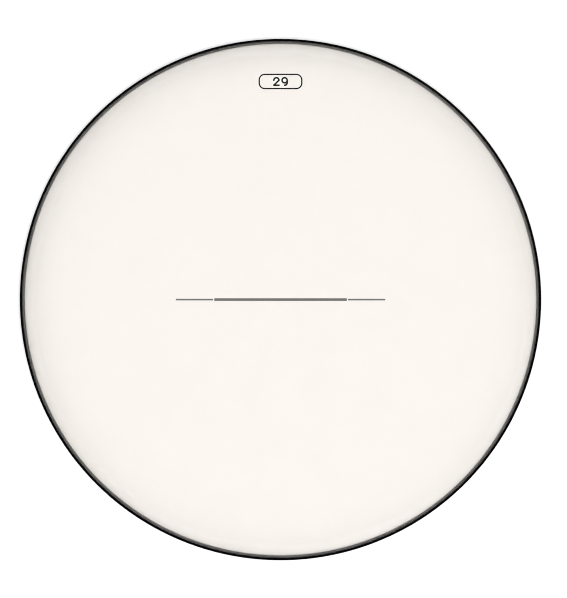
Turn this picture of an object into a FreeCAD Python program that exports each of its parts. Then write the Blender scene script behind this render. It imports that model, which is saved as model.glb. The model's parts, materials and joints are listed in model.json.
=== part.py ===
import FreeCAD, Part
import math
import os
import re
from collections import namedtuple

import Sketcher

# A timpani drum head: a round sheet of hazy polyester film whose edge is locked into a black flesh hoop.
# The hoop is an aluminium channel, rolled into a ring and butt welded. The film's margin drops into the
# channel beside the curled lip, hooks under a steel insert ring, and is keyed by cast resin that flowed
# through holes punched in the margin. A centre mark and a plain size stamp are printed on top of the film.
# The head lies on its hoop: Z is up, the origin is the middle of the hoop's underside, X runs along the mark.

# Driving dimensions, in millimetres. Azimuths are degrees from X, counts and shares are plain numbers.
SIZES = {
    # Flesh hoop: a channel that opens upwards, with its outer wall curled inwards as a lip
    "head_diameter": 736.6,
    "hoop_width": 7.0,
    "hoop_height": 9.5,
    "hoop_wall": 1.2,
    "hoop_floor": 1.2,
    "lip_width": 3.1,
    "lip_thickness": 1.2,
    "lip_corner": 1.6,
    "wall_step": 2.1,
    "base_corner": 0.8,
    "edge_share": 0.42,
    "weld_width": 3.0,
    "weld_azimuth": -90.0,
    # Film: the flat playing area, the sloping collar and the margin inside the channel
    "film_gauge": 0.25,
    "film_gap": 0.1,
    "collar_width": 18.0,
    "collar_rise": 5.5,
    "collar_bend": 14.0,
    "collar_foot": 4.0,
    "slot_bend": 1.8,
    "hook_bend": 0.5,
    # Resin and steel that lock the margin: the bed under the hook, the keys, and the split ring
    "bed_depth": 0.4,
    "key_share": 0.62,
    "key_count": 72,
    "insert_gap": 0.1,
    "insert_share": 0.35,
    "insert_split": 1.0,
    "insert_azimuth": 90.0,
    # Printing on the film: the centre mark and the size stamp
    "ink_depth": 0.05,
    "bar_length": 186.9,
    "bar_width": 3.8,
    "line_length": 52.6,
    "line_width": 2.4,
    "mark_gap": 1.7,
    "stamp_inset": 35.8,
    "stamp_length": 62.0,
    "stamp_height": 22.0,
    "stamp_share": 0.4,
    "stamp_stroke": 2.0,
    "digit_height": 10.6,
    "digit_width": 7.2,
    "digit_gap": 4.4,
    "digit_stroke": 2.4,
}

# Places that several pieces share, as expressions of the driving dimensions.
OUTER = "(head_diameter / 2)"
BORE = f"({OUTER} - hoop_width)"
CHANNEL_INNER = f"({BORE} + hoop_wall)"
CHANNEL_OUTER = f"({OUTER} - hoop_wall)"
LIP_EDGE = f"({OUTER} - lip_width)"
LIP_UNDERSIDE = "(hoop_height - lip_thickness)"
LIP_ROUND = "(lip_thickness * edge_share)"
WALL_TOP = "(hoop_height - wall_step)"
WALL_ROUND = "(hoop_wall * edge_share)"
PLAYING_TOP = "(hoop_height + collar_rise)"
PLAYING_EDGE = f"({BORE} - collar_width)"
FOOT_EDGE = f"({BORE} + {WALL_ROUND})"
MARGIN_OUTER = f"({LIP_EDGE} - film_gap)"
MARGIN_INNER = f"({MARGIN_OUTER} - film_gauge)"
HOOK_UNDERSIDE = "(hoop_floor + bed_depth)"
HOOK_TOP = f"({HOOK_UNDERSIDE} + film_gauge)"
HOOK_END = f"({CHANNEL_OUTER} - insert_gap)"
MARGIN_FOOT = f"({HOOK_TOP} + hook_bend)"
MARGIN_HEAD = f"({WALL_TOP} - slot_bend)"
KEY_LEVEL = f"(({MARGIN_FOOT} + {MARGIN_HEAD}) / 2)"
KEY_RADIUS = f"(({MARGIN_HEAD} - {MARGIN_FOOT}) * key_share / 2)"
KEY_START = f"({MARGIN_INNER} - film_gauge)"
INSERT_INNER = f"({MARGIN_OUTER} + insert_gap)"
INSERT_ROUND = f"(({HOOK_END} - {INSERT_INNER}) * insert_share)"
STAMP_MIDDLE = f"({PLAYING_EDGE} - stamp_inset)"
STAMP_ROUND = "(stamp_height * stamp_share)"

doc = FreeCAD.newDocument("drum_head")
sheet = doc.addObject("Spreadsheet::Sheet", "Dims")
for row, (alias, size) in enumerate(SIZES.items(), start=1):
    sheet.set(f"A{row}", alias)
    sheet.set(f"B{row}", str(size))
    sheet.setAlias(f"B{row}", alias)
doc.recompute()

UP = FreeCAD.Vector(0, 0, 1)
Line = namedtuple("Line", "kind place bend centre")


def level(height, bend=None, centre=None):
    """A level line of an outline, with the radius and the centre's place of the bend that ends it."""
    return Line("level", height, bend, centre)


def upright(place, bend=None):
    """An upright line of an outline, with the radius of the bend that ends it."""
    return Line("upright", place, bend, None)


def slope(bend, centre):
    """A sloping line of an outline, placed by the bends before and after it, which it touches."""
    return Line("slope", None, bend, centre)


def bound(expression):
    """The expression with each size's name pointed at its cell in the sheet."""
    return re.sub(r"[a-z_]+", lambda name: f"Dims.{name[0]}" if name[0] in SIZES else name[0], expression)


def value(expression):
    """What the expression comes to with the sheet's present sizes."""
    return float(sheet.evalExpression(bound(expression)))


def origin_feature(body, role):
    """The plane or axis of that role in the body's own origin."""
    return next(feature for feature in body.Origin.OriginFeatures if feature.Role == role)


def new_sketch(body, name, plane, offset=("0", "0", "0")):
    """A sketch on one of the body's origin planes, moved by the offset along that plane's own axes."""
    sketch = body.newObject("Sketcher::SketchObject", name)
    sketch.AttachmentSupport = (origin_feature(body, plane), [""])
    sketch.MapMode = "FlatFace"
    for axis, distance in zip("xyz", offset):
        sketch.setExpression(f"AttachmentOffset.Base.{axis}", bound(distance))
    return sketch


def constrain(sketch, kind, *places, to=None):
    """Adds one constraint. With an expression in to, the constraint's size follows it."""
    if to is None:
        sketch.addConstraint(Sketcher.Constraint(kind, *places))
        return
    index = sketch.addConstraint(Sketcher.Constraint(kind, *places, value(to)))
    name = f"{kind}_{index}"
    sketch.renameConstraint(index, name)
    sketch.setExpression(f"Constraints.{name}", bound(to))


def slope_ends(before, after, sloping):
    """Where a sloping line would meet the level lines before and after it with sharp corners."""
    start = value(before.centre)
    end = value(sloping.centre)
    run = abs(end - start)
    radii = value(before.bend) + value(sloping.bend)
    lift = radii - abs(value(after.place) - value(before.place))
    lean = math.atan2(run, lift) - math.acos(radii / math.hypot(run, lift))
    reach = math.copysign(math.tan(lean / 2), end - start)
    return (
        FreeCAD.Vector(start + reach * value(before.bend), value(before.place)),
        FreeCAD.Vector(end - reach * value(sloping.bend), value(after.place)),
    )


def meeting_points(lines):
    """The point where each line of the outline would meet the next with a sharp corner."""
    points = [None] * len(lines)
    for i, line in enumerate(lines):
        following = lines[(i + 1) % len(lines)]
        if line.kind == "slope":
            points[i - 1], points[i] = slope_ends(lines[i - 1], following, line)
        elif following.kind != "slope":
            across, high = (line, following) if line.kind == "upright" else (following, line)
            points[i] = FreeCAD.Vector(value(across.place), value(high.place))
    return points


def place_line(sketch, index, line):
    """Holds a level or upright line at its place; one at zero lies on the sketch's own axis."""
    axis = {"level": -1, "upright": -2, "slope": None}[line.kind]
    if line.place == "0":
        constrain(sketch, "PointOnObject", index, 1, axis)
        constrain(sketch, "PointOnObject", index, 2, axis)
    elif line.kind == "level":
        constrain(sketch, "Horizontal", index)
        constrain(sketch, "DistanceY", -1, 1, index, 1, to=line.place)
    elif line.kind == "upright":
        constrain(sketch, "Vertical", index)
        constrain(sketch, "DistanceX", -1, 1, index, 1, to=line.place)


def round_corner(sketch, index, following, line, start, end, way):
    """Joins two lines by an arc that touches both, from start, where the first runs along way, to end."""
    radius = value(line.bend)
    leftwards = way.cross(end - start).z > 0
    side = UP.cross(way) if leftwards else way.cross(UP)
    circle = Part.Circle(start + side * radius, UP, radius)
    first, last = (start, end) if leftwards else (end, start)
    bend = Part.ArcOfCircle(circle, circle.parameter(first), circle.parameter(last))
    arc = sketch.addGeometry(bend, False)
    entry, leaving = (1, 2) if leftwards else (2, 1)
    constrain(sketch, "Tangent", index, 2, arc, entry)
    constrain(sketch, "Tangent", arc, leaving, following, 1)
    constrain(sketch, "Radius", arc, to=line.bend)
    if line.centre:
        constrain(sketch, "DistanceX", -1, 1, arc, 3, to=line.centre)


def draw_outline(sketch, lines):
    """Draws a closed outline of level, upright and sloping lines in order, with the bends between them."""
    count = len(lines)
    points = meeting_points(lines)
    ways = [(points[i] - points[i - 1]).normalize() for i in range(count)]
    trims = [
        value(line.bend) * math.tan(ways[i].getAngle(ways[(i + 1) % count]) / 2) if line.bend else 0.0
        for i, line in enumerate(lines)
    ]
    starts = [points[i - 1] + ways[i] * trims[i - 1] for i in range(count)]
    ends = [points[i] - ways[i] * trims[i] for i in range(count)]
    first = sketch.GeometryCount
    for start, end in zip(starts, ends):
        sketch.addGeometry(Part.LineSegment(start, end), False)
    for i, line in enumerate(lines):
        place_line(sketch, first + i, line)
    for i, line in enumerate(lines):
        after = (i + 1) % count
        if line.bend:
            round_corner(sketch, first + i, first + after, line, ends[i], starts[after], ways[i])
        else:
            constrain(sketch, "Coincident", first + i, 2, first + after, 1)


def turned_body(label, lines, angle=None, backwards=False, azimuth="0"):
    """A ring or disc: the outline turned about the head's axis, right round unless an angle is given."""
    body = doc.addObject("PartDesign::Body", label)
    sketch = new_sketch(body, f"{label}_outline", "XZ_Plane")
    draw_outline(sketch, lines)
    turn = body.newObject("PartDesign::Revolution", f"{label}_turn")
    turn.Profile = sketch
    turn.ReferenceAxis = (sketch, ["V_Axis"])
    turn.Reversed = backwards
    if angle:
        turn.setExpression("Angle", bound(angle))
    body.Placement = FreeCAD.Placement(FreeCAD.Vector(), FreeCAD.Rotation(UP, 0))
    body.setExpression("Placement.Rotation.Angle", bound(azimuth))
    return body


def round_of_pegs(body, kind, name, length):
    """A ring of round keys, or of holes for them, through the film's margin, beginning just inside it."""
    sketch = new_sketch(body, f"{name}_circle", "YZ_Plane", ("0", "0", KEY_START))
    middle = FreeCAD.Vector(0, value(KEY_LEVEL))
    circle = sketch.addGeometry(Part.Circle(middle, UP, value(KEY_RADIUS)), False)
    constrain(sketch, "PointOnObject", circle, 3, -2)
    constrain(sketch, "DistanceY", -1, 1, circle, 3, to=KEY_LEVEL)
    constrain(sketch, "Radius", circle, to=KEY_RADIUS)
    peg = body.newObject(f"PartDesign::{kind}", name)
    peg.Profile = sketch
    peg.setExpression("Length", bound(length))
    peg.Reversed = kind == "Pocket"
    doc.recompute()
    ring = body.newObject("PartDesign::PolarPattern", f"{name}_ring")
    ring.Originals = [peg]
    ring.Axis = (origin_feature(body, "Z_Axis"), [""])
    ring.Angle = 360
    ring.setExpression("Occurrences", bound("key_count"))
    body.Tip = ring


# Flesh hoop: the black channel. The film rests on its inner wall, and its lip covers the film's margin.
HOOP_OUTLINE = [
    level("0", "base_corner"),
    upright(OUTER, "lip_corner"),
    level("hoop_height", LIP_ROUND),
    upright(LIP_EDGE, LIP_ROUND),
    level(LIP_UNDERSIDE),
    upright(CHANNEL_OUTER),
    level("hoop_floor"),
    upright(CHANNEL_INNER, WALL_ROUND),
    level(WALL_TOP, WALL_ROUND),
    upright(BORE, "base_corner"),
]
WELD_ANGLE = "(weld_width / head_diameter * 360 / pi)"
flesh_hoop = turned_body("flesh_hoop", HOOP_OUTLINE, angle=f"360 - {WELD_ANGLE}", azimuth="weld_azimuth")

# Hoop weld: the filler that closes the rolled channel, dressed flush with it all round.
hoop_weld = turned_body("hoop_weld", HOOP_OUTLINE, angle=WELD_ANGLE, backwards=True, azimuth="weld_azimuth")

# Film: one sheet, from the flat playing area over the collar and the inner wall to the hook in the channel.
film = turned_body(
    "film",
    [
        level(PLAYING_TOP, "collar_bend + film_gauge", PLAYING_EDGE),
        slope("collar_foot", FOOT_EDGE),
        level(f"{WALL_TOP} + film_gauge", "slot_bend + film_gauge"),
        upright(MARGIN_OUTER, "hook_bend"),
        level(HOOK_TOP),
        upright(HOOK_END),
        level(HOOK_UNDERSIDE, "hook_bend + film_gauge"),
        upright(MARGIN_INNER, "slot_bend"),
        level(WALL_TOP, "collar_foot + film_gauge", FOOT_EDGE),
        slope("collar_bend", PLAYING_EDGE),
        level(f"{PLAYING_TOP} - film_gauge"),
        upright("0"),
    ],
)
round_of_pegs(film, "Pocket", "film_hole", "film_gauge * 3")

# Resin fill: cast between the inner wall and the film, under the hook, and through the film's holes.
resin_fill = turned_body(
    "resin_fill",
    [
        level("hoop_floor"),
        upright(CHANNEL_OUTER),
        level(HOOK_UNDERSIDE, "hook_bend + film_gauge"),
        upright(MARGIN_INNER, "slot_bend"),
        level(WALL_TOP),
        upright(CHANNEL_INNER),
    ],
)
round_of_pegs(resin_fill, "Pad", "resin_key", "film_gauge * 2 + insert_gap / 2")

# Insert ring: a steel strip, rolled to a split ring, that stands on the film's hook under the hoop's lip.
insert_ring = turned_body(
    "insert_ring",
    [
        level(HOOK_TOP, INSERT_ROUND),
        upright(HOOK_END, INSERT_ROUND),
        level(f"{LIP_UNDERSIDE} - insert_gap", INSERT_ROUND),
        upright(INSERT_INNER, INSERT_ROUND),
    ],
    angle="360 - insert_split / head_diameter * 360 / pi",
    azimuth="insert_azimuth",
)


def printed_strip(label, length, width, start):
    """A straight strip of ink on the film, centred on the X axis, that begins at start."""
    strip = doc.addObject("Part::Box", label)
    strip.setExpression("Length", bound(length))
    strip.setExpression("Width", bound(width))
    strip.setExpression("Height", bound("ink_depth"))
    strip.setExpression("Placement.Base.x", bound(start))
    strip.setExpression("Placement.Base.y", bound(f"-{width} / 2"))
    strip.setExpression("Placement.Base.z", bound(PLAYING_TOP))
    return strip


# Centre mark: a broad bar across the middle and a fine line beyond each end, printed along the film's grain.
LINE_START = "(bar_length / 2 + mark_gap)"
centre_bar = printed_strip("centre_bar", "bar_length", "bar_width", "-bar_length / 2")
LEFT_START = f"-{LINE_START} - line_length"
centre_line_left = printed_strip("centre_line_left", "line_length", "line_width", LEFT_START)
centre_line_right = printed_strip("centre_line_right", "line_length", "line_width", LINE_START)

# Stamp border: a plain rounded frame printed near the hoop.
stamp_border = doc.addObject("PartDesign::Body", "stamp_border")
border_sketch = new_sketch(
    stamp_border,
    "stamp_border_outline",
    "XY_Plane",
    ("-stamp_length / 2", f"{STAMP_MIDDLE} - stamp_height / 2", PLAYING_TOP),
)
draw_outline(
    border_sketch,
    [
        level("0", STAMP_ROUND),
        upright("stamp_length", STAMP_ROUND),
        level("stamp_height", STAMP_ROUND),
        upright("0", STAMP_ROUND),
    ],
)
draw_outline(
    border_sketch,
    [
        level("stamp_stroke", f"{STAMP_ROUND} - stamp_stroke"),
        upright("stamp_length - stamp_stroke", f"{STAMP_ROUND} - stamp_stroke"),
        level("stamp_height - stamp_stroke", f"{STAMP_ROUND} - stamp_stroke"),
        upright("stamp_stroke", f"{STAMP_ROUND} - stamp_stroke"),
    ],
)
border_pad = stamp_border.newObject("PartDesign::Pad", "stamp_border_pad")
border_pad.Profile = border_sketch
border_pad.setExpression("Length", bound("ink_depth"))


def pen_stroke(*curves):
    """The strip of ink that a round pen leaves along an open run of curves."""
    run = Part.Wire([curve.toShape() for curve in curves])
    return Part.Face(run.makeOffset2D(value("digit_stroke / 2"))).extrude(UP * value("ink_depth"))


def printed_digit(label, shape, left):
    """A digit of ink on the film, drawn from its own lower left corner and placed at left."""
    digit = doc.addObject("Part::Feature", label)
    digit.Shape = shape
    digit.setExpression("Placement.Base.x", bound(left))
    digit.setExpression("Placement.Base.y", bound(f"{STAMP_MIDDLE} - digit_height / 2"))
    digit.setExpression("Placement.Base.z", bound(PLAYING_TOP))
    return digit


# Stamp numerals: the head's nominal diameter in inches, a two and a nine, each with a round bowl at its top.
bowl = value("digit_width / 2")
bowl_middle = FreeCAD.Vector(bowl, value("digit_height") - bowl)
bowl_left = bowl_middle - FreeCAD.Vector(bowl, 0)
bowl_right = bowl_middle + FreeCAD.Vector(bowl, 0)
bowl_top = bowl_middle + FreeCAD.Vector(0, bowl)
foot_left = FreeCAD.Vector(0, 0)
foot_middle = FreeCAD.Vector(bowl, 0)
foot_right = FreeCAD.Vector(2 * bowl, 0)
two = pen_stroke(
    Part.Arc(bowl_left, bowl_top, bowl_right),
    Part.LineSegment(bowl_right, foot_left),
    Part.LineSegment(foot_left, foot_right),
)
stamp_two = printed_digit("stamp_two", two, "-digit_gap / 2 - digit_width")

bowl_outer = Part.makeCylinder(value("(digit_width + digit_stroke) / 2"), value("ink_depth"), bowl_middle)
bowl_inner = Part.makeCylinder(value("(digit_width - digit_stroke) / 2"), value("ink_depth"), bowl_middle)
back_end = FreeCAD.Vector(2 * bowl, bowl)
tail_bend = FreeCAD.Vector(bowl, bowl) + FreeCAD.Vector(1, -1).normalize() * bowl
tail = pen_stroke(Part.LineSegment(bowl_right, back_end), Part.Arc(back_end, tail_bend, foot_middle))
nine = bowl_outer.cut(bowl_inner).fuse(tail).removeSplitter().Solids[0]
stamp_nine = printed_digit("stamp_nine", nine, "digit_gap / 2")

# Every piece is checked before any is written.
doc.recompute()
pieces = [
    flesh_hoop,
    hoop_weld,
    film,
    resin_fill,
    insert_ring,
    centre_bar,
    centre_line_left,
    centre_line_right,
    stamp_border,
    stamp_two,
    stamp_nine,
]
for item in doc.Objects:
    if {"Invalid", "Error"} & set(item.State):
        raise RuntimeError(f"{item.Name} did not build: {item.State}")
for piece in pieces:
    if piece.Shape.isNull() or not piece.Shape.isValid() or len(piece.Shape.Solids) != 1:
        raise RuntimeError(f"{piece.Label} is not one sound solid")
os.makedirs("parts", exist_ok=True)
for piece in pieces:
    piece.Shape.exportStep(f"parts/{piece.Label}.step")
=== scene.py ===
import json
import math

import bmesh
import bpy
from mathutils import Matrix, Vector


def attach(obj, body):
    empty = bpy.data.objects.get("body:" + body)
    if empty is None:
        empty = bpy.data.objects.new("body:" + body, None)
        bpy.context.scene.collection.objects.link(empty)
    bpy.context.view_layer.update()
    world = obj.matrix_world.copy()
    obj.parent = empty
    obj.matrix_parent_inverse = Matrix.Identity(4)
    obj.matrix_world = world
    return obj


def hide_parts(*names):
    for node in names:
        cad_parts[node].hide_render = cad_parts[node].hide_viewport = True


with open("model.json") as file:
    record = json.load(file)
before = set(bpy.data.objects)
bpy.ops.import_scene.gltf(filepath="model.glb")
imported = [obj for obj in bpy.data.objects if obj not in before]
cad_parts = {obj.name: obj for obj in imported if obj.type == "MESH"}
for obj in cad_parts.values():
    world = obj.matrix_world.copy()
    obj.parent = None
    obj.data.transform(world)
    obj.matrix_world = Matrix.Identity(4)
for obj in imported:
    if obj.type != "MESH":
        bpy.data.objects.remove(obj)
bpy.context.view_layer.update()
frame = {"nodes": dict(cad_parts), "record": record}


# Flesh hoop: an aluminium channel, rolled into a ring with its outer wall curled inwards as a lip, and
# baked in a thin black enamel. Everything else on the head hangs on it.
MM = 0.001
mounts = {mount["name"]: mount for mount in frame["record"]["mounts"]}
HOOP_OUTER = mounts["hoop_rim"]["dims"]["r_mm"] * MM
HOOP_BORE = mounts["hoop_bore"]["dims"]["r_mm"] * MM
HOOP_HEIGHT = mounts["counterhoop_seat"]["pos_m"][2]
HOOP_WALL = 1.2 * MM
WALL_STEP = 2.1 * MM
WALL_TOP = HOOP_HEIGHT - WALL_STEP
LIP_WIDTH = 3.1 * MM
LIP_EDGE = HOOP_OUTER - LIP_WIDTH
LIP_UNDERSIDE = HOOP_HEIGHT - HOOP_WALL
LIP_CORNER = 1.6 * MM
EDGE_ROUND = 0.5 * MM
BASE_CORNER = 0.8 * MM
WELD_WIDTH = 3.0 * MM
WELD_LAP = 0.01 * MM
WELD_AZIMUTH = math.radians(-90)
HOOP_STEPS = 900
HOOP_BEND_STEPS = 6
HOOP_CREASE = math.radians(32)
SEAM_GAP = 0.005 * MM

# Enamel: where it is rubbed on the lip's corner, where it ends inside the bore, and where its gloss begins.
RUBBED_WIDTH = 1.1 * MM
RUBBED_DEPTH = 1.3 * MM
PAINT_LAP = 0.6 * MM
PAINT_FADE = 0.3 * MM
BORE_SKIN = 0.2 * MM
GLOSS_START = 0.2 * MM
GLOSS_FULL = 5.0 * MM
PEEL_SPOTS = 620.0
PEEL_RELIEF = 0.02 * MM
CLOUD_SPOTS = 45.0
ENAMEL_DEEP = (0.0004, 0.0004, 0.0005)
ENAMEL_RUBBED = (0.004, 0.004, 0.0043)
METAL_DARK = (0.3, 0.3, 0.305)
METAL_PALE = (0.42, 0.42, 0.42)


class Field:
    """A socket of a node tree, so that values over a surface are written as plain arithmetic."""

    def __init__(self, tree, socket=None):
        self.tree = tree
        self.socket = socket

    def node(self, kind, settings=None, sockets=None, output=0):
        """Adds a node, sets its settings, fills its sockets with numbers or fields, and gives an output."""
        made = self.tree.nodes.new(kind)
        for name, setting in (settings or {}).items():
            setattr(made, name, setting)
        for name, given in (sockets or {}).items():
            if isinstance(given, Field):
                self.tree.links.new(given.socket, made.inputs[name])
            else:
                made.inputs[name].default_value = given
        return Field(self.tree, made.outputs[output] if made.outputs else None)

    def maths(self, operation, first, second):
        """Adds a Math node on two numbers or fields."""
        return self.node("ShaderNodeMath", {"operation": operation}, {0: first, 1: second})

    def __add__(self, other):
        return self.maths("ADD", self, other)

    __radd__ = __add__

    def __sub__(self, other):
        return self.maths("SUBTRACT", self, other)

    def __rsub__(self, other):
        return self.maths("SUBTRACT", other, self)

    def __mul__(self, other):
        return self.maths("MULTIPLY", self, other)

    __rmul__ = __mul__

    def __pow__(self, other):
        return self.maths("POWER", self, other)

    def ramp(self, low, high):
        """Rises smoothly from 0 at low to 1 at high."""
        sockets = {"Value": self, "From Min": low, "From Max": high}
        return self.node("ShaderNodeMapRange", {"interpolation_type": "SMOOTHSTEP"}, sockets)

    def noise(self, spots, detail=2.0, roughness=0.5):
        """Soft random spots, about that many to the metre, from a place on the surface."""
        sockets = {"Vector": self, "Scale": spots, "Detail": detail, "Roughness": roughness}
        return self.node("ShaderNodeTexNoise", None, sockets, "Fac")

    def blend(self, first, second):
        """The first colour where this field is 0, the second where it is 1."""
        return self.node("ShaderNodeMix", {"data_type": "RGBA"}, {0: self, 6: first, 7: second}, 2)

    def tint(self, first, second):
        """Blends two plain colours."""
        return self.blend((*first, 1.0), (*second, 1.0))

    def bump(self, depth):
        """A normal that stands for this field as a relief of that depth in metres."""
        sockets = {"Height": self, "Distance": depth, "Strength": 1.0}
        return self.node("ShaderNodeBump", None, sockets, "Normal")


def new_finish(name):
    """An empty material, and the field of places on the surface that wears it."""
    material = bpy.data.materials.new(name)
    material.use_nodes = True
    material.node_tree.nodes.clear()
    return material, Field(material.node_tree).node("ShaderNodeTexCoord", output="Object")


def finished(material, shader):
    """Makes the shader the material's surface."""
    shader.node("ShaderNodeOutputMaterial", None, {"Surface": shader})
    return material


def turned_tree(name, whole):
    """Nodes that round an outline's corners and turn it about the head's axis, right round or part way."""
    tree = bpy.data.node_groups.new(name, "GeometryNodeTree")
    face = tree.interface
    face.new_socket("Outline", in_out="INPUT", socket_type="NodeSocketGeometry")
    for label, kind in (
        ("Path Radius", "NodeSocketFloat"),
        ("Start Angle", "NodeSocketFloat"),
        ("Sweep Angle", "NodeSocketFloat"),
        ("Steps Round", "NodeSocketInt"),
        ("Bend Steps", "NodeSocketInt"),
        ("Sharp Angle", "NodeSocketFloat"),
        ("Finish", "NodeSocketMaterial"),
    ):
        face.new_socket(label, in_out="INPUT", socket_type=kind)
    face.new_socket("Piece", in_out="OUTPUT", socket_type="NodeSocketGeometry")
    given = tree.nodes.new("NodeGroupInput")

    def sized(label):
        return Field(tree, given.outputs[label])

    field = Field(tree)
    run = field.node("GeometryNodeMeshToCurve", None, {"Mesh": sized("Outline")})
    bend = field.node("GeometryNodeInputNamedAttribute", {"data_type": "FLOAT"}, {"Name": "bend"})
    rounded = field.node(
        "GeometryNodeFilletCurve",
        {"mode": "POLY"},
        {"Curve": run, "Count": sized("Bend Steps"), "Radius": bend},
    )
    inset = field.node("ShaderNodeCombineXYZ", None, {"X": 0.0 - sized("Path Radius")})
    section = field.node(
        "GeometryNodeTransform",
        None,
        {"Geometry": rounded, "Translation": inset, "Rotation": (math.pi, 0.0, 0.0)},
    )
    if whole:
        path = field.node(
            "GeometryNodeCurvePrimitiveCircle",
            None,
            {"Resolution": sized("Steps Round"), "Radius": sized("Path Radius")},
        )
    else:
        path = field.node(
            "GeometryNodeCurveArc",
            None,
            {
                "Resolution": sized("Steps Round"),
                "Radius": sized("Path Radius"),
                "Start Angle": sized("Start Angle"),
                "Sweep Angle": sized("Sweep Angle"),
            },
        )
    turned = field.node(
        "GeometryNodeCurveToMesh",
        None,
        {"Curve": path, "Profile Curve": section, "Fill Caps": not whole},
    )
    closed = field.node("GeometryNodeMergeByDistance", None, {"Geometry": turned, "Distance": SEAM_GAP})
    turn = field.node("GeometryNodeInputMeshEdgeAngle", output="Unsigned Angle")
    sharp = field.node(
        "FunctionNodeCompare",
        {"data_type": "FLOAT", "operation": "GREATER_THAN"},
        {"A": turn, "B": sized("Sharp Angle")},
    )
    smooth = field.node(
        "GeometryNodeSetShadeSmooth",
        {"domain": "FACE"},
        {"Geometry": closed, "Shade Smooth": True},
    )
    creased = field.node(
        "GeometryNodeSetShadeSmooth",
        {"domain": "EDGE"},
        {"Geometry": smooth, "Selection": sharp, "Shade Smooth": False},
    )
    plain = field.node("GeometryNodeRealizeInstances", None, {"Geometry": creased})
    dressed = field.node("GeometryNodeSetMaterial", None, {"Geometry": plain, "Material": sized("Finish")})
    field.node("NodeGroupOutput", None, {"Piece": dressed})
    return tree


def turned_piece(name, tree, outline, joined, sizes):
    """A plain mesh turned from an outline of (radius, height, bend) corners, with its faces outwards."""
    count = len(outline)
    edges = [(i, (i + 1) % count) for i in range(count if joined else count - 1)]
    drawing = bpy.data.meshes.new(f"{name}_outline")
    drawing.from_pydata([(radius, height, 0.0) for radius, height, bend in outline], edges, [])
    bends = drawing.attributes.new("bend", "FLOAT", "POINT")
    bends.data.foreach_set("value", [bend for radius, height, bend in outline])
    pattern = bpy.data.objects.new(f"{name}_outline", drawing)
    bpy.context.scene.collection.objects.link(pattern)
    modifier = pattern.modifiers.new("turned", "NODES")
    modifier.node_group = tree
    for item in tree.interface.items_tree:
        if item.in_out == "INPUT" and item.name in sizes:
            modifier[item.identifier] = sizes[item.name]
    seen = pattern.evaluated_get(bpy.context.evaluated_depsgraph_get())
    mesh = bpy.data.meshes.new_from_object(seen)
    bpy.data.objects.remove(pattern)
    shape = bmesh.new()
    shape.from_mesh(mesh)
    bmesh.ops.recalc_face_normals(shape, faces=shape.faces)
    shape.to_mesh(mesh)
    shape.free()
    mesh.name = name
    piece = bpy.data.objects.new(name, mesh)
    bpy.context.scene.collection.objects.link(piece)
    return piece


def baked_enamel(name, spots, relief):
    """Black enamel with an orange peel: dull on the lip, glossier down the wall, none inside the bore."""
    enamel, place = new_finish(name)
    flat = place.node("ShaderNodeVectorMath", {"operation": "MULTIPLY"}, {0: place, 1: (1.0, 1.0, 0.0)})
    radius = place.node("ShaderNodeVectorMath", {"operation": "LENGTH"}, {0: flat}, "Value")
    height = place.node("ShaderNodeSeparateXYZ", None, {"Vector": place}, "Z")
    peel = place.noise(spots, 3.0)
    cloud = place.noise(CLOUD_SPOTS, 4.0)
    outside = radius.ramp(HOOP_OUTER - RUBBED_WIDTH, HOOP_OUTER)
    top = height.ramp(HOOP_HEIGHT - RUBBED_DEPTH, HOOP_HEIGHT)
    rubbed = outside * top * cloud.ramp(0.48, 0.7)
    wall = height.ramp(WALL_TOP - PAINT_LAP, WALL_TOP - PAINT_LAP - PAINT_FADE)
    bore = wall * radius.ramp(HOOP_BORE + BORE_SKIN, HOOP_BORE)
    paint = (0.8 * rubbed + 0.2 * cloud).tint(ENAMEL_DEEP, ENAMEL_RUBBED)
    metal = cloud.tint(METAL_DARK, METAL_PALE)
    glossy = height.ramp(HOOP_HEIGHT - GLOSS_START, HOOP_HEIGHT - GLOSS_FULL) * (0.2 + 0.3 * cloud)
    return finished(
        enamel,
        place.node(
            "ShaderNodeBsdfPrincipled",
            None,
            {
                "Base Color": bore.blend(paint, metal),
                "Metallic": bore,
                "Roughness": 0.34 + 0.16 * peel - 0.1 * rubbed,
                "Specular IOR Level": 0.0,
                "Coat Weight": (1.0 - bore) * glossy,
                "Coat Roughness": 0.24,
                "Normal": peel.bump(relief),
            },
        ),
    )


hoop_outline = [
    (HOOP_OUTER, 0.0, BASE_CORNER),
    (HOOP_OUTER, HOOP_HEIGHT, LIP_CORNER),
    (LIP_EDGE, HOOP_HEIGHT, EDGE_ROUND),
    (LIP_EDGE, LIP_UNDERSIDE, EDGE_ROUND),
    (HOOP_OUTER - HOOP_WALL, LIP_UNDERSIDE, 0.0),
    (HOOP_OUTER - HOOP_WALL, HOOP_WALL, 0.0),
    (HOOP_BORE + HOOP_WALL, HOOP_WALL, 0.0),
    (HOOP_BORE + HOOP_WALL, WALL_TOP, EDGE_ROUND),
    (HOOP_BORE, WALL_TOP, EDGE_ROUND),
    (HOOP_BORE, 0.0, BASE_CORNER),
]
rolled_hoop = turned_piece(
    "rolled_hoop",
    turned_tree("rolled_channel", whole=False),
    hoop_outline,
    joined=True,
    sizes={
        "Path Radius": (HOOP_OUTER + HOOP_BORE) / 2,
        "Start Angle": WELD_AZIMUTH - WELD_LAP / HOOP_OUTER,
        "Sweep Angle": 2 * math.pi - (WELD_WIDTH - 2 * WELD_LAP) / HOOP_OUTER,
        "Steps Round": HOOP_STEPS,
        "Bend Steps": HOOP_BEND_STEPS,
        "Sharp Angle": HOOP_CREASE,
        "Finish": baked_enamel("black_enamel", PEEL_SPOTS, PEEL_RELIEF),
    },
)
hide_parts("flesh_hoop")
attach(rolled_hoop, "root")


# Hoop weld: the filler that closes the rolled channel. It is dressed flush and painted with the hoop,
# so only a faint ripple across the band tells where it is.
RIPPLE_SPOTS = 1500.0
RIPPLE_RELIEF = 0.05 * MM


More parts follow.
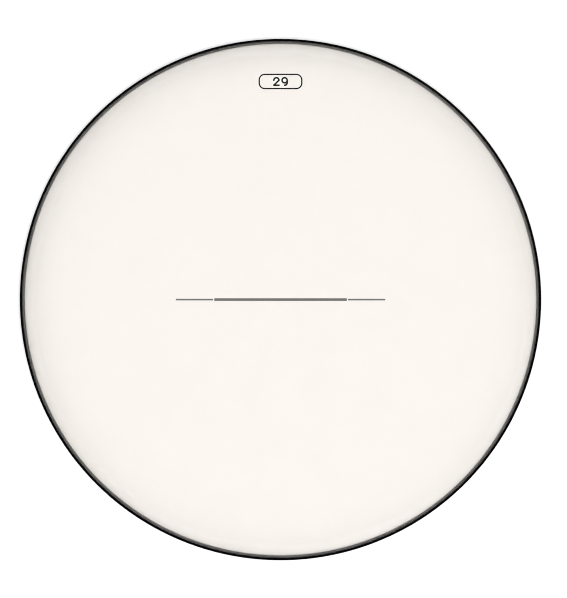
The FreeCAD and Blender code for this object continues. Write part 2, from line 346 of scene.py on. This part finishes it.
def repaint(node, finish):
    """Gives a solid of the part its finish."""
    solid = frame["nodes"][node]
    solid.data.materials.clear()
    solid.data.materials.append(finish)


repaint("hoop_weld", baked_enamel("painted_weld", RIPPLE_SPOTS, RIPPLE_RELIEF))


# Film: one sheet of hazy polyester, pressed hot so that a sloping collar drops from the flat playing area
# to the hoop. Its margin bends down inside the lip and hooks under the insert ring.
FILM_GAUGE = 0.25 * MM
FILM_LIFT = 0.02 * MM
PLAYING_TOP = mounts["bearing_seat"]["pos_m"][2] + FILM_GAUGE
COLLAR_WIDTH = 18.0 * MM
PLAYING_EDGE = HOOP_BORE - COLLAR_WIDTH
COLLAR_BEND = 14.0 * MM
COLLAR_FOOT = 4.0 * MM
FOOT_EDGE = HOOP_BORE + EDGE_ROUND
SLOT_BEND = 1.8 * MM
MARGIN_GAP = 0.1 * MM
MARGIN_OUTER = LIP_EDGE - MARGIN_GAP
RESIN_BED = 0.4 * MM
HOOK_TOP = HOOP_WALL + RESIN_BED + FILM_GAUGE
HOOK_BEND = 0.5 * MM
HOOK_END = HOOP_OUTER - HOOP_WALL - MARGIN_GAP
FLAT_RIM = 1.5 * MM
FILM_STEPS = 720
FILM_BEND_STEPS = 9
FILM_CREASE = math.radians(40)


def collar_corners(high, low, bend, foot):
    """The sharp corners of the slope that touches a bend over the playing edge and a bend at its foot."""
    run = FOOT_EDGE - PLAYING_EDGE
    lift = bend + foot - (high - low)
    lean = math.atan2(run, lift) - math.acos((bend + foot) / math.hypot(run, lift))
    reach = math.tan(lean / 2)
    return (PLAYING_EDGE + reach * bend, high, bend), (FOOT_EDGE - reach * foot, low, foot)


# The sheet is drawn a hair thin, so that its underside clears the faces it lies on. A loop of edges just
# inside the collar keeps the playing area flat.
seat = WALL_TOP + FILM_LIFT
film_skin = FILM_GAUGE - FILM_LIFT
upper_collar = collar_corners(PLAYING_TOP, seat + film_skin, COLLAR_BEND + film_skin, COLLAR_FOOT)
lower_collar = collar_corners(PLAYING_TOP - film_skin, seat, COLLAR_BEND, COLLAR_FOOT + film_skin)
film_outline = [
    (0.0, PLAYING_TOP, 0.0),
    (PLAYING_EDGE - FLAT_RIM, PLAYING_TOP, 0.0),
    *upper_collar,
    (MARGIN_OUTER, seat + film_skin, SLOT_BEND + film_skin),
    (MARGIN_OUTER, HOOK_TOP, HOOK_BEND),
    (HOOK_END, HOOK_TOP, 0.0),
    (HOOK_END, HOOK_TOP - film_skin, 0.0),
    (MARGIN_OUTER - film_skin, HOOK_TOP - film_skin, HOOK_BEND + film_skin),
    (MARGIN_OUTER - film_skin, seat, SLOT_BEND),
    *reversed(lower_collar),
    (PLAYING_EDGE - FLAT_RIM, PLAYING_TOP - film_skin, 0.0),
    (0.0, PLAYING_TOP - film_skin, 0.0),
]

# Haze: each face of the sheet scatters a little light back and most of it forwards, and it shines more in
# a slanting view.
FILM_DULL = (0.86, 0.85, 0.82)
FILM_PALE = (0.92, 0.91, 0.88)
LIGHT_THROUGH = (0.898, 0.887, 0.875, 1.0)
MOTTLE_SPOTS = 14.0
GRAIN_SPOTS = 900.0
GRAIN_RELIEF = 0.004 * MM
SCUFF_SPOTS = 70.0
WHITE = (1.0, 1.0, 1.0, 1.0)
haze, place = new_finish("hazy_film")
mottle = place.noise(MOTTLE_SPOTS, 3.0)
grain = place.noise(GRAIN_SPOTS)
scuff = place.noise(SCUFF_SPOTS, 5.0, 0.65).ramp(0.6, 0.75)
bloom = place.node(
    "ShaderNodeBsdfPrincipled",
    None,
    {
        "Base Color": mottle.tint(FILM_DULL, FILM_PALE),
        "Roughness": 0.3 + 0.12 * grain,
        "Normal": grain.bump(GRAIN_RELIEF),
    },
)
clear = place.node("ShaderNodeBsdfTransparent", None, {"Color": LIGHT_THROUGH})
milk = place.node("ShaderNodeBsdfTranslucent", None, {"Color": LIGHT_THROUGH})
through = place.node("ShaderNodeMixShader", None, {0: 0.6 + 0.04 * mottle, 1: clear, 2: milk})
body = place.node("ShaderNodeMixShader", None, {0: 0.003 + 0.003 * grain, 1: through, 2: bloom})
gloss = place.node(
    "ShaderNodeBsdfGlossy",
    None,
    {"Color": WHITE, "Roughness": 0.3 + 0.05 * grain + 0.06 * scuff},
)
aslant = place.node("ShaderNodeLayerWeight", None, {"Blend": 0.5}, "Facing")
shine = 0.015 + 0.5 * aslant ** 5.0
finished(haze, place.node("ShaderNodeMixShader", None, {0: shine, 1: body, 2: gloss}))

whole_turn = turned_tree("whole_turn", whole=True)
film_sheet = turned_piece(
    "film_sheet",
    whole_turn,
    film_outline,
    joined=False,
    sizes={
        "Path Radius": PLAYING_EDGE,
        "Steps Round": FILM_STEPS,
        "Bend Steps": FILM_BEND_STEPS,
        "Sharp Angle": FILM_CREASE,
        "Finish": haze,
    },
)
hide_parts("film")
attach(film_sheet, "root")


# Insert ring: a strip of dull spring steel, rolled to a split ring. It drops on to the film's hook and
# holds it down.
STEEL_DARK = (0.16, 0.16, 0.162)
STEEL_PALE = (0.26, 0.26, 0.26)
STREAK_SPOTS = 160.0
STREAK_SQUEEZE = (1.0, 1.0, 14.0)
STREAK_RELIEF = 0.01 * MM
steel, place = new_finish("rolled_steel")
strip = place.node("ShaderNodeMapping", None, {"Vector": place, "Scale": STREAK_SQUEEZE})
streak = strip.noise(STREAK_SPOTS, 4.0)
finished(
    steel,
    place.node(
        "ShaderNodeBsdfPrincipled",
        None,
        {
            "Base Color": streak.tint(STEEL_DARK, STEEL_PALE),
            "Metallic": 1.0,
            "Roughness": 0.28 + 0.2 * streak,
            "Normal": streak.bump(STREAK_RELIEF),
        },
    ),
)
repaint("insert_ring", steel)


# Resin fill: dark casting resin, poured into the channel behind the film and under its hook, where it sets
# hard and keys the film in place.
RESIN_DARK = (0.055, 0.055, 0.053)
RESIN_PALE = (0.07, 0.07, 0.067)
SWIRL_SPOTS = 240.0
SWIRL_RELIEF = 0.03 * MM
RESIN_BEND_STEPS = 6
resin, place = new_finish("cast_resin")
swirl = place.noise(SWIRL_SPOTS, 5.0, 0.6)
finished(
    resin,
    place.node(
        "ShaderNodeBsdfPrincipled",
        None,
        {
            "Base Color": swirl.tint(RESIN_DARK, RESIN_PALE),
            "Roughness": 0.3 + 0.25 * swirl,
            "Specular IOR Level": 0.1,
            "Normal": swirl.bump(SWIRL_RELIEF),
        },
    ),
)
hook_underside = HOOK_TOP - FILM_GAUGE
margin_inner = MARGIN_OUTER - FILM_GAUGE
fill_outline = [
    (HOOP_BORE + HOOP_WALL, HOOP_WALL, 0.0),
    (HOOP_OUTER - HOOP_WALL, HOOP_WALL, 0.0),
    (HOOP_OUTER - HOOP_WALL, hook_underside, 0.0),
    (margin_inner, hook_underside, HOOK_BEND + FILM_GAUGE),
    (margin_inner, WALL_TOP, SLOT_BEND),
    (HOOP_BORE + HOOP_WALL, WALL_TOP, 0.0),
]
cast_fill = turned_piece(
    "cast_fill",
    whole_turn,
    fill_outline,
    joined=True,
    sizes={
        "Path Radius": margin_inner,
        "Steps Round": FILM_STEPS,
        "Bend Steps": RESIN_BEND_STEPS,
        "Sharp Angle": FILM_CREASE,
        "Finish": resin,
    },
)
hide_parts("resin_fill")
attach(cast_fill, "root")


# Centre mark: grey screen ink, a bar and two fine lines across the middle of the film. The mesh leaves a
# slight tooth in it, with pinholes here and there.
GREY_THICK = (0.1, 0.098, 0.092)
GREY_THIN = (0.124, 0.122, 0.114)
TOOTH_SPOTS = 2600.0
TOOTH_RELIEF = 0.006 * MM
PINHOLE_SPOTS = 1400.0
CAST_SPOTS = 30.0


def printed_ink(name, thick, thin):
    """Screen ink that is a little thinner in pinholes and along the threads of the screen."""
    ink, place = new_finish(name)
    tooth = place.noise(TOOTH_SPOTS)
    pinholes = place.noise(PINHOLE_SPOTS, 3.0, 0.7).ramp(0.66, 0.74)
    cast = place.noise(CAST_SPOTS)
    return finished(
        ink,
        place.node(
            "ShaderNodeBsdfPrincipled",
            None,
            {
                "Base Color": (0.6 * pinholes + 0.4 * cast).tint(thick, thin),
                "Roughness": 0.5 + 0.2 * tooth,
                "Specular IOR Level": 0.15,
                "Normal": tooth.bump(TOOTH_RELIEF),
            },
        ),
    )


def print_on_film(node, ink):
    """Inks a printed mark, which is too thin to keep light from the film under it."""
    repaint(node, ink)
    mark = frame["nodes"][node]
    mark.visible_diffuse = False
    mark.visible_transmission = False
    mark.visible_shadow = False


grey_ink = printed_ink("printed_grey", GREY_THICK, GREY_THIN)
for strip_node in ("centre_bar", "centre_line_left", "centre_line_right"):
    print_on_film(strip_node, grey_ink)


# Size stamp: a rounded frame and two numerals, the head's nominal size. It is black ink, screened like the
# centre mark.
BLACK_THICK = (0.004, 0.004, 0.004)
BLACK_THIN = (0.012, 0.012, 0.012)
black_ink = printed_ink("printed_black", BLACK_THICK, BLACK_THIN)
for stroke_node in ("stamp_border", "stamp_two", "stamp_nine"):
    print_on_film(stroke_node, black_ink)


# Studio: a plain white floor under a white sky. The sky brightens from the horizon to half way up, and
# towards the lower right of the picture, where one soft lamp stands.
FLOOR_REACH = 40.0
FLOOR_DROP = 0.05 * MM
FLOOR_CORNERS = ((-1, -1), (1, -1), (1, 1), (-1, 1))
PAPER_DULL = (0.9, 0.9, 0.9)
PAPER_PALE = (0.91, 0.91, 0.91)
PULP_SPOTS = 60.0
SKY_LOW = 0.73
SKY_RISE = 1.0
SKY_FULL = 0.7
SKY_RIGHT = 0.34
SKY_BACK = -0.61
LAMP_PLACE = (1.6, -4.3, 1.5)
LAMP_WIDTH = 1.6
LAMP_DEPTH = 0.8
LAMP_WATTS = 60.0
floor_mesh = bpy.data.meshes.new("floor")
floor_points = [(x * FLOOR_REACH, y * FLOOR_REACH, -FLOOR_DROP) for x, y in FLOOR_CORNERS]
floor_mesh.from_pydata(floor_points, [], [(0, 1, 2, 3)])
floor = bpy.data.objects.new("floor", floor_mesh)
scene = bpy.context.scene
scene.collection.objects.link(floor)
paper, place = new_finish("white_paper")
pulp = place.noise(PULP_SPOTS, 3.0)
finished(
    paper,
    place.node(
        "ShaderNodeBsdfPrincipled",
        None,
        {
            "Base Color": pulp.tint(PAPER_DULL, PAPER_PALE),
            "Roughness": 0.85 + 0.1 * pulp,
            "Specular IOR Level": 0.0,
        },
    ),
)
floor_mesh.materials.append(paper)

scene.world = bpy.data.worlds.new("studio")
scene.world.use_nodes = True
sky_tree = scene.world.node_tree
sky_tree.nodes.clear()
way = Field(sky_tree).node("ShaderNodeTexCoord", output="Generated")
right, back, upward = (way.node("ShaderNodeSeparateXYZ", None, {"Vector": way}, axis) for axis in "XYZ")
bright = SKY_LOW + SKY_RISE * upward.ramp(0.0, SKY_FULL) + SKY_RIGHT * right + SKY_BACK * back
sky = way.node("ShaderNodeBackground", None, {"Color": WHITE, "Strength": bright})
way.node("ShaderNodeOutputWorld", None, {"Surface": sky})

lamp_data = bpy.data.lights.new("soft_lamp", "AREA")
lamp_data.shape = "RECTANGLE"
lamp_data.size = LAMP_WIDTH
lamp_data.size_y = LAMP_DEPTH
lamp_data.energy = LAMP_WATTS
lamp = bpy.data.objects.new("soft_lamp", lamp_data)
lamp.location = LAMP_PLACE
lamp.rotation_euler = (-Vector(LAMP_PLACE)).to_track_quat("-Z", "Y").to_euler()
scene.collection.objects.link(lamp)


# Camera: straight down on a long lens. The picture is 598 pixels tall, the hoop takes 521.6 of them, and it
# stands a few pixels left of the picture's middle and a little below it.
PICTURE_HEIGHT = 598
HOOP_PIXELS = 521.64
SIDEWAYS_PIXELS = 2.98
UPWARDS_PIXELS = 0.59
LENS = 150.0
SENSOR_HEIGHT = 36.0
pixel = 2 * HOOP_OUTER / HOOP_PIXELS
distance = PICTURE_HEIGHT * pixel * LENS / SENSOR_HEIGHT
camera_data = bpy.data.cameras.new("camera")
camera_data.sensor_fit = "VERTICAL"
camera_data.sensor_height = SENSOR_HEIGHT
camera_data.lens = LENS
camera_data.clip_end = 4 * FLOOR_REACH
camera = bpy.data.objects.new("camera", camera_data)
camera.location = (SIDEWAYS_PIXELS * pixel, UPWARDS_PIXELS * pixel, HOOP_HEIGHT + distance)
scene.collection.objects.link(camera)
scene.camera = camera
scene.view_settings.view_transform = "Standard"
scene.cycles.filter_width = 1.0
